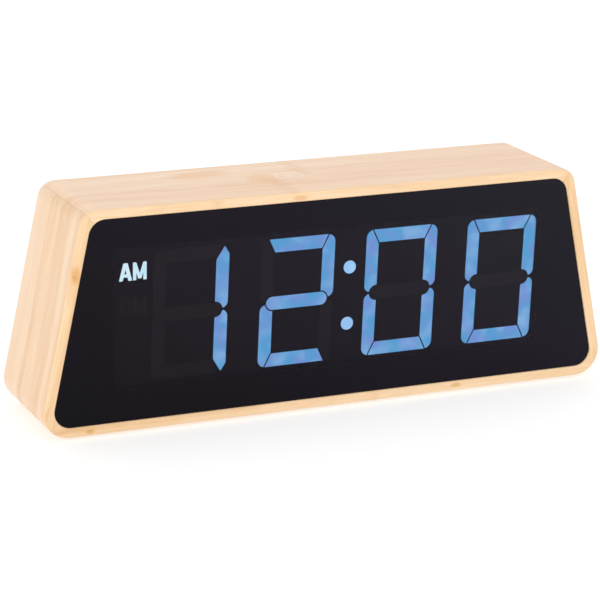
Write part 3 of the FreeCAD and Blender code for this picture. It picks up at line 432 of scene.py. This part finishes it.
def cell_wrap(name):
    """Plain shrink wrap with one band; bare metal at both ends of each cell."""
    g = Graph(name, Coat_Weight=0.4, Coat_Roughness=0.12)
    x, _, z = g.axes()
    low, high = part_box("battery_cells")
    middle = (low.z + high.z) / 2
    upper = g.math("GREATER_THAN", z, middle)
    flip = g.remap(upper, 0.0, 1.0, -1.0, 1.0)
    along = g.math("MULTIPLY", x, flip)
    wrap = g.math("MULTIPLY", g.math("GREATER_THAN", along, SLEEVE_ENDS[0] * MM),
                  g.math("LESS_THAN", along, SLEEVE_ENDS[1] * MM))
    band = g.math("GREATER_THAN", along, SLEEVE_BAND * MM)
    sleeve = g.mix(band, (0.05, 0.13, 0.12), (0.55, 0.33, 0.16))
    g.set(Base_Color=g.mix(wrap, (0.62, 0.61, 0.58), sleeve), Metallic=g.math("SUBTRACT", 1.0, wrap),
          Roughness=g.remap(g.noise(g.place(), 400.0), 0.3, 0.7, 0.25, 0.4))
    return g.material


def ribbon(name):
    """Grey flat cable, ribbed along each conductor, with painted shade in the grooves and one coloured
    edge.
    """
    g = Graph(name, Roughness=0.45)
    x = g.axes()[0]
    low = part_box("ribbon_cable")[0]
    rib = g.math("ABSOLUTE", g.math("SINE", g.math("MULTIPLY", x, math.pi / CONDUCTOR_PITCH)))
    edge = g.math("LESS_THAN", x, low.x + CONDUCTOR_PITCH)
    # painted shade: the grey darkens in the grooves between the conductors
    grey = g.mix(rib, (0.22, 0.23, 0.25), (0.42, 0.43, 0.46))
    g.set(Base_Color=g.mix(edge, grey, (0.45, 0.05, 0.04)))
    g.bump(rib, 0.2 * MM, 0.8)
    return g.material


HIDDEN_BLACK = (0.004, 0.004, 0.0045)     # what shows through the lens round the windows
# light of the display's films: cool, violet and bright tones, then strength
STROKE_LIGHT = ((0.090, 0.41, 0.80), (0.19, 0.34, 0.82), (0.25, 0.53, 0.92), 2.9)
COLON_LIGHT = ((0.23, 0.54, 0.86), (0.28, 0.50, 0.84), (0.33, 0.60, 0.90), 3.9)
INDICATOR_LIGHT = ((0.57, 0.85, 1.0), (0.74, 0.87, 1.0), (0.84, 0.95, 1.0), 3.5)

# maker of each material slot's finish
MAKERS = {
    "smoked_lens": smoked_lens,
    "adhesive_foam": lambda n: moulded(n, HIDDEN_BLACK, 0.8, relief=0.0, Specular_IOR_Level=0.1),
    "black_abs": lambda n: moulded(n, (0.018, 0.018, 0.019), 0.52, relief=0.05),
    "mask_black": lambda n: moulded(n, HIDDEN_BLACK, 0.8, relief=0.0, Specular_IOR_Level=0.1),
    "lit_blue": lambda n: lit_diffuser(n, *STROKE_LIGHT),
    "unlit_film": unlit_diffuser,
    "indicator_blue": lambda n: lit_diffuser(n, *INDICATOR_LIGHT),
    "reflector_white": lambda n: moulded(n, (0.78, 0.79, 0.78), 0.5),
    "circuit_green": circuit,
    "lamp_body": lambda n: moulded(n, (0.80, 0.76, 0.50), 0.25, Coat_Weight=0.5),
    "chip_black": lambda n: moulded(n, (0.015, 0.015, 0.017), 0.6, 3000.0),
    "screw_steel": lambda n: metal(n, (0.62, 0.62, 0.64), 0.28),
    "button_black": lambda n: moulded(n, (0.024, 0.024, 0.026), 0.36, 5000.0, 0.02),
    "switch_black": lambda n: moulded(n, (0.03, 0.03, 0.032), 0.45),
    "switch_case": lambda n: metal(n, (0.66, 0.66, 0.66), 0.25, (14.0, 1.0, 1.0)),
    "cell_wrap": cell_wrap,
    "nickel": lambda n: metal(n, (0.70, 0.68, 0.63), 0.22),
    "capacitor_sleeve": lambda n: moulded(n, (0.02, 0.025, 0.07), 0.25, Coat_Weight=0.4),
    "crystal_can": lambda n: metal(n, (0.72, 0.73, 0.75), 0.2, (14.0, 1.0, 1.0)),
    "connector_white": lambda n: moulded(n, (0.72, 0.69, 0.60), 0.5),
    "cable_grey": ribbon,
    "buzzer_black": lambda n: moulded(n, (0.012, 0.012, 0.013), 0.5),
    "buzzer_brass": lambda n: metal(n, (0.80, 0.58, 0.24), 0.25),
    "socket_black": lambda n: moulded(n, (0.014, 0.014, 0.015), 0.42),
    "copper_foil": lambda n: metal(n, (0.85, 0.47, 0.30), 0.2),
    "foot_rubber": lambda n: rubber(n, (0.022, 0.022, 0.022)),
}


def boards():
    """A bamboo finish for each board of the case, with its own grain direction and marks."""
    up_left = (math.sin(LEAN), 0.0, math.cos(LEAN))
    up_right = (-math.sin(LEAN), 0.0, math.cos(LEAN))
    level = (1.0, 0.0, 0.0)
    front = FRONT_Y / MM
    # the fifth value of each board is its sides' tone, partly its own and partly painted sheen; the top's
    # is palest
    return {
        "top_board": bamboo(
            "bamboo_top", level, ((-1, True), (1, True)), (23.0, front), 3.0, (0.90, 0.64, 0.46),
            tints=((12.0, 12.0, 0.05), (-8.0, 5.0, -0.04)),
            patches=(((-38.5, 12.0, 80.0), (12.0, 5.0, 4.0), 0.55),
                     ((-18.0, -1.0, 80.0), (6.0, 7.5, 4.0), 0.55)),
            knots=(((-14.2, front, 77.4), (3.0, 3.0, 0.9), 0.5),),
            mark=touch_mark),
        "bottom_board": bamboo(
            "bamboo_bottom", level, ((-1, False), (1, False)), (23.0, -12.0), 11.0, (0.80, 0.58, 0.38),
            knots=(((-90.5, front, 2.6), (1.8, 3.0, 0.9), 0.8),
                   ((48.0, front, 3.0), (2.2, 3.0, 0.8), 0.6))),
        "left_board": bamboo(
            "bamboo_left", up_left, ((-1, True), (-1, False)), (36.0, front), 21.0, (0.815, 0.577, 0.385),
            tints=((16.0, 7.5, 0.10), (5.5, 2.5, -0.07), (-2.5, 3.0, 0.03), (-10.0, 2.5, -0.05),
                   (-18.5, 2.0, 0.08)),
            patches=(((-95.6, front, 54.5), (2.6, 1.6, 9.0), 0.35),),
            knots=(((-95.0, front, 57.5), (1.8, 2.0, 3.4), 0.6),
                   ((-95.4, front, 57.0), (0.9, 1.2, 1.0), 0.7))),
        "right_board": bamboo(
            "bamboo_right", up_right, ((1, True), (1, False)), (30.0, -16.0), 35.0, (0.79, 0.59, 0.40)),
    }


def dress():
    """Gives every carried-over node its material."""
    own = boards()
    own["inner_frame"] = MAKERS["mask_black"]("frame_black")
    own["colon_dots"] = lit_diffuser("colon_blue", *COLON_LIGHT)
    made = {}
    for part in frame["record"]["subparts"]:
        node, slot = part["node"], part["material_slot"]
        if node in own:
            material = own[node]
        else:
            if slot not in made:
                made[slot] = MAKERS[slot](slot)
            material = made[slot]
        mesh = NODES[node].data
        if mesh.materials:
            for i in range(len(mesh.materials)):
                mesh.materials[i] = material
        else:
            mesh.materials.append(material)


# ---- raised symbols on the rear cover, outlines in mm -----------------------------------------------
SYMBOL_RELIEF = 0.18 * MM
SYMBOL_SINK = 0.05 * MM
KEY_RISE = 8.6                # of a symbol over its key
SLIDER_RISE = 7.0             # over its slider's slot
SLIDER_SHIFT = 2.0            # from a slider at rest to the middle of its slot
ARM = 1.6                     # half length of the minus and plus
STROKE = 0.55
HAND_STROKE = 0.32


def ring_points(cx, cz, radius, count=40, start=0.0, turn=2 * math.pi):
    """Points round a circle or, for a smaller turn, along an arc."""
    closed = turn >= 2 * math.pi - 1e-6
    steps = count if closed else count - 1
    angles = [start + turn * i / steps for i in range(count)]
    return [(cx + radius * math.cos(a), cz + radius * math.sin(a)) for a in angles]


def band_between(outer, inner):
    """Quads between two loops with the same number of points."""
    count = len(outer)
    return [[outer[i], outer[(i + 1) % count], inner[(i + 1) % count], inner[i]] for i in range(count)]


def bar_points(p, q, width):
    """A straight bar from p to q."""
    p, q = Vector(p), Vector(q)
    along = (q - p).normalized()
    side = Vector((-along.y, along.x)) * width / 2
    return [tuple(corner) for corner in (p - side, q - side, q + side, p + side)]


def raised(name, patches, material):
    """Closed relief made of flat patches (lists of (x, z) in mm) standing on the rear cover."""
    low, high = COVER_Y - SYMBOL_SINK, COVER_Y + SYMBOL_RELIEF
    mesh = bmesh.new()
    for patch in patches:
        floor = [mesh.verts.new((x * MM, low, z * MM)) for x, z in patch]
        roof = [mesh.verts.new((x * MM, high, z * MM)) for x, z in patch]
        mesh.faces.new(floor)
        mesh.faces.new(roof[::-1])
        for i in range(len(patch)):
            j = (i + 1) % len(patch)
            mesh.faces.new([floor[i], roof[i], roof[j], floor[j]])
    bmesh.ops.recalc_face_normals(mesh, faces=mesh.faces)
    data = bpy.data.meshes.new(name)
    mesh.to_mesh(data)
    mesh.free()
    piece = bpy.data.objects.new(name, data)
    bpy.context.scene.collection.objects.link(piece)
    data.materials.append(material)
    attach(piece, "case")


def centre_of(node):
    """Middle of a node in X and Z, mm."""
    low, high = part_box(node)
    return (low.x + high.x) / 2 / MM, (low.z + high.z) / 2 / MM


def bell(cx, cz, size):
    """Dome with a flared skirt, and a clapper under it."""
    dome = ring_points(cx, cz + 0.15 * size, 0.42 * size, 17, 0.0, math.pi)
    skirt = [(cx - 0.42 * size, cz - 0.2 * size), (cx - 0.62 * size, cz - 0.42 * size),
             (cx + 0.62 * size, cz - 0.42 * size), (cx + 0.42 * size, cz - 0.2 * size)]
    clapper = ring_points(cx, cz - 0.6 * size, 0.13 * size, 14)
    return [dome + skirt, clapper]


def sun(cx, cz, size):
    """Disc with eight rays."""
    rays = []
    for i in range(8):
        turn = i * math.pi / 4
        inner = (cx + 0.62 * size * math.cos(turn), cz + 0.62 * size * math.sin(turn))
        outer = (cx + 0.95 * size * math.cos(turn), cz + 0.95 * size * math.sin(turn))
        rays.append(bar_points(inner, outer, 0.16 * size))
    return [ring_points(cx, cz, 0.42 * size, 28), *rays]


def symbols(ink):
    """What each key and slider does: time, alarm, minus, plus, dimmer and alarm switch."""
    x, z = centre_of("time_button")
    z += KEY_RISE
    face = band_between(ring_points(x, z, 1.9), ring_points(x, z, 1.5))
    hands = [bar_points((x, z - 0.15), (x, z + 1.15), HAND_STROKE),
             bar_points((x + 0.15, z), (x - 0.85, z - 0.1), HAND_STROKE)]
    raised("symbol_time", [*face, *hands], ink)
    x, z = centre_of("alarm_button")
    raised("symbol_alarm", bell(x, z + KEY_RISE + 0.2, 2.6), ink)
    x, z = centre_of("minus_button")
    z += KEY_RISE
    raised("symbol_minus", [bar_points((x - ARM, z), (x + ARM, z), STROKE)], ink)
    x, z = centre_of("plus_button")
    z += KEY_RISE
    cross = [bar_points((x - ARM, z), (x + ARM, z), STROKE),
             bar_points((x, z + STROKE / 2), (x, z + ARM), STROKE),
             bar_points((x, z - ARM), (x, z - STROKE / 2), STROKE)]
    raised("symbol_plus", cross, ink)
    x, z = centre_of("dimmer_slider")
    raised("symbol_dimmer", sun(x + SLIDER_SHIFT, z + SLIDER_RISE, 2.0), ink)
    x, z = centre_of("alarm_slider")
    raised("symbol_alarm_switch", bell(x + SLIDER_SHIFT, z + SLIDER_RISE + 0.2, 2.2), ink)


# ---- studio -----------------------------------------------------------------------------------
FLOOR_HALF = 6.0
FLOOR_TONES = (0.62, 0.64)
FLOOR_GLOW = 0.5              # keeps the floor pale right up to the case
WORLD_STRENGTH = 0.82
AIM = (0.0, 0.0, 0.04)
EYE = (-0.356614, -0.796536, 0.287571)
EYE_AZIMUTH, EYE_ELEVATION, EYE_ROLL = math.radians(23.919), math.radians(16.251), math.radians(0.95)
FOCAL_LENGTH = 152.983
SENSOR_WIDTH = 36.0


def floor():
    """Plain pale paper."""
    mesh = bmesh.new()
    bmesh.ops.create_grid(mesh, x_segments=2, y_segments=2, size=FLOOR_HALF)
    data = bpy.data.meshes.new("floor")
    mesh.to_mesh(data)
    mesh.free()
    piece = bpy.data.objects.new("floor", data)
    bpy.context.scene.collection.objects.link(piece)
    g = Graph("floor_paper", Roughness=0.9, Specular_IOR_Level=0.0, Emission_Strength=FLOOR_GLOW,
              Emission_Color=(1.0, 1.0, 1.0))
    cloud = g.noise(g.place(), 3.0, 3.0)
    dull, pale = ((tone, tone, tone) for tone in FLOOR_TONES)
    g.set(Base_Color=g.ramp(cloud, (0.3, dull), (0.7, pale)))
    data.materials.append(g.material)


def soft_light(name, place, size, power, colour=(1.0, 1.0, 1.0)):
    """Area light that faces the clock."""
    data = bpy.data.lights.new(name, "AREA")
    data.shape = "RECTANGLE"
    data.size, data.size_y = size
    data.energy = power
    data.color = colour
    lamp = bpy.data.objects.new(name, data)
    lamp.location = place
    lamp.rotation_euler = (Vector(AIM) - Vector(place)).to_track_quat("-Z", "Y").to_euler()
    bpy.context.scene.collection.objects.link(lamp)


def lights():
    """Warm key on the left, a weaker fill on the right, a little light from behind, white all round."""
    soft_light("key", (-1.2, -1.1, 0.6), (1.0, 0.8), 8.0, (1.0, 0.985, 0.96))
    soft_light("fill", (1.1, -1.3, 0.6), (1.0, 0.8), 3.0)
    soft_light("back", (0.5, 1.2, 1.0), (1.2, 0.6), 3.0)
    world = bpy.data.worlds.new("studio")
    world.use_nodes = True
    background = world.node_tree.nodes["Background"]
    background.inputs["Color"].default_value = (1.0, 1.0, 1.0, 1.0)
    background.inputs["Strength"].default_value = WORLD_STRENGTH
    bpy.context.scene.world = world


def camera():
    """Stands left of and above the display, with a long lens."""
    data = bpy.data.cameras.new("camera")
    data.lens = FOCAL_LENGTH
    data.sensor_width = SENSOR_WIDTH
    data.clip_start, data.clip_end = 0.05, 50.0
    eye = bpy.data.objects.new("camera", data)
    level_reach = math.cos(EYE_ELEVATION)
    forward = Vector((math.sin(EYE_AZIMUTH) * level_reach, math.cos(EYE_AZIMUTH) * level_reach,
                      -math.sin(EYE_ELEVATION)))
    turn = forward.to_track_quat("-Z", "Y").to_matrix().to_4x4() @ Matrix.Rotation(EYE_ROLL, 4, "Z")
    eye.matrix_world = Matrix.Translation(EYE) @ turn
    bpy.context.scene.collection.objects.link(eye)
    bpy.context.scene.camera = eye


def studio():
    """Floor, light and camera, with colours shown as they are."""
    floor()
    lights()
    camera()
    bpy.context.scene.view_settings.view_transform = "Standard"
    bpy.context.scene.view_settings.look = "None"


dress()
symbols(moulded("symbol_paint", (0.62, 0.62, 0.62), 0.5))
studio()
